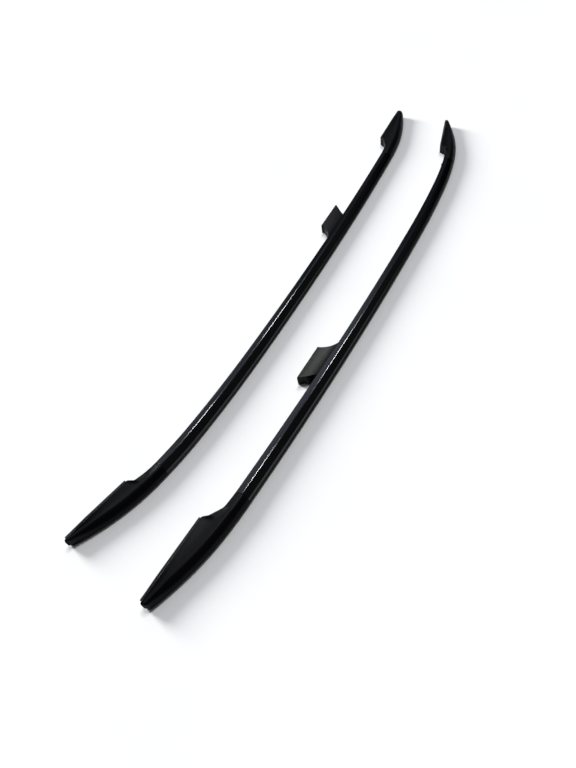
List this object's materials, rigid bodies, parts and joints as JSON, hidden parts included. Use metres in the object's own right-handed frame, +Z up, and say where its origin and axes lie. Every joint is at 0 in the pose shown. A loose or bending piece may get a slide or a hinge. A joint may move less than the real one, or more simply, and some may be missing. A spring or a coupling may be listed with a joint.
{
  "type": "pair of roof rails",
  "caption": "Arched roof rails for a car, with a D-shaped hollow bar, moulded covers over cast end and centre feet, rubber gaskets and threaded inserts.",
  "frame": {"origin": "centre of the pair's bounding box in plan, on the surface that the rails lie on", "axes": "+Z up from the surface (towards the rails' outboard sides), +Y along the rails, +X across the pair, from the left rail to the right one"},
  "size_m": [0.3294, 1.784, 0.0285],
  "materials": {
    "gloss_black": "gloss paint on extruded aluminium",
    "satin_black": "satin moulded plastic",
    "cast_aluminium": "as cast",
    "rubber": "matte",
    "brass": "turned",
    "steel": "dark plated"
  },
  "bodies": {
    "root": {"left_bar": "gloss_black", "left_rear_cover": "satin_black", "left_centre_cover": "satin_black", "left_front_cover": "satin_black", "left_rear_bracket": "cast_aluminium", "left_centre_bracket": "cast_aluminium", "left_front_bracket": "cast_aluminium", "left_rear_gasket": "rubber", "left_centre_gasket": "rubber", "left_front_gasket": "rubber", "left_inserts": "brass", "left_screws": "steel", "right_bar": "gloss_black", "right_rear_cover": "satin_black", "right_centre_cover": "satin_black", "right_front_cover": "satin_black", "right_rear_bracket": "cast_aluminium", "right_centre_bracket": "cast_aluminium", "right_front_bracket": "cast_aluminium", "right_rear_gasket": "rubber", "right_centre_gasket": "rubber", "right_front_gasket": "rubber", "right_inserts": "brass", "right_screws": "steel"}
  },
  "joints": []
}
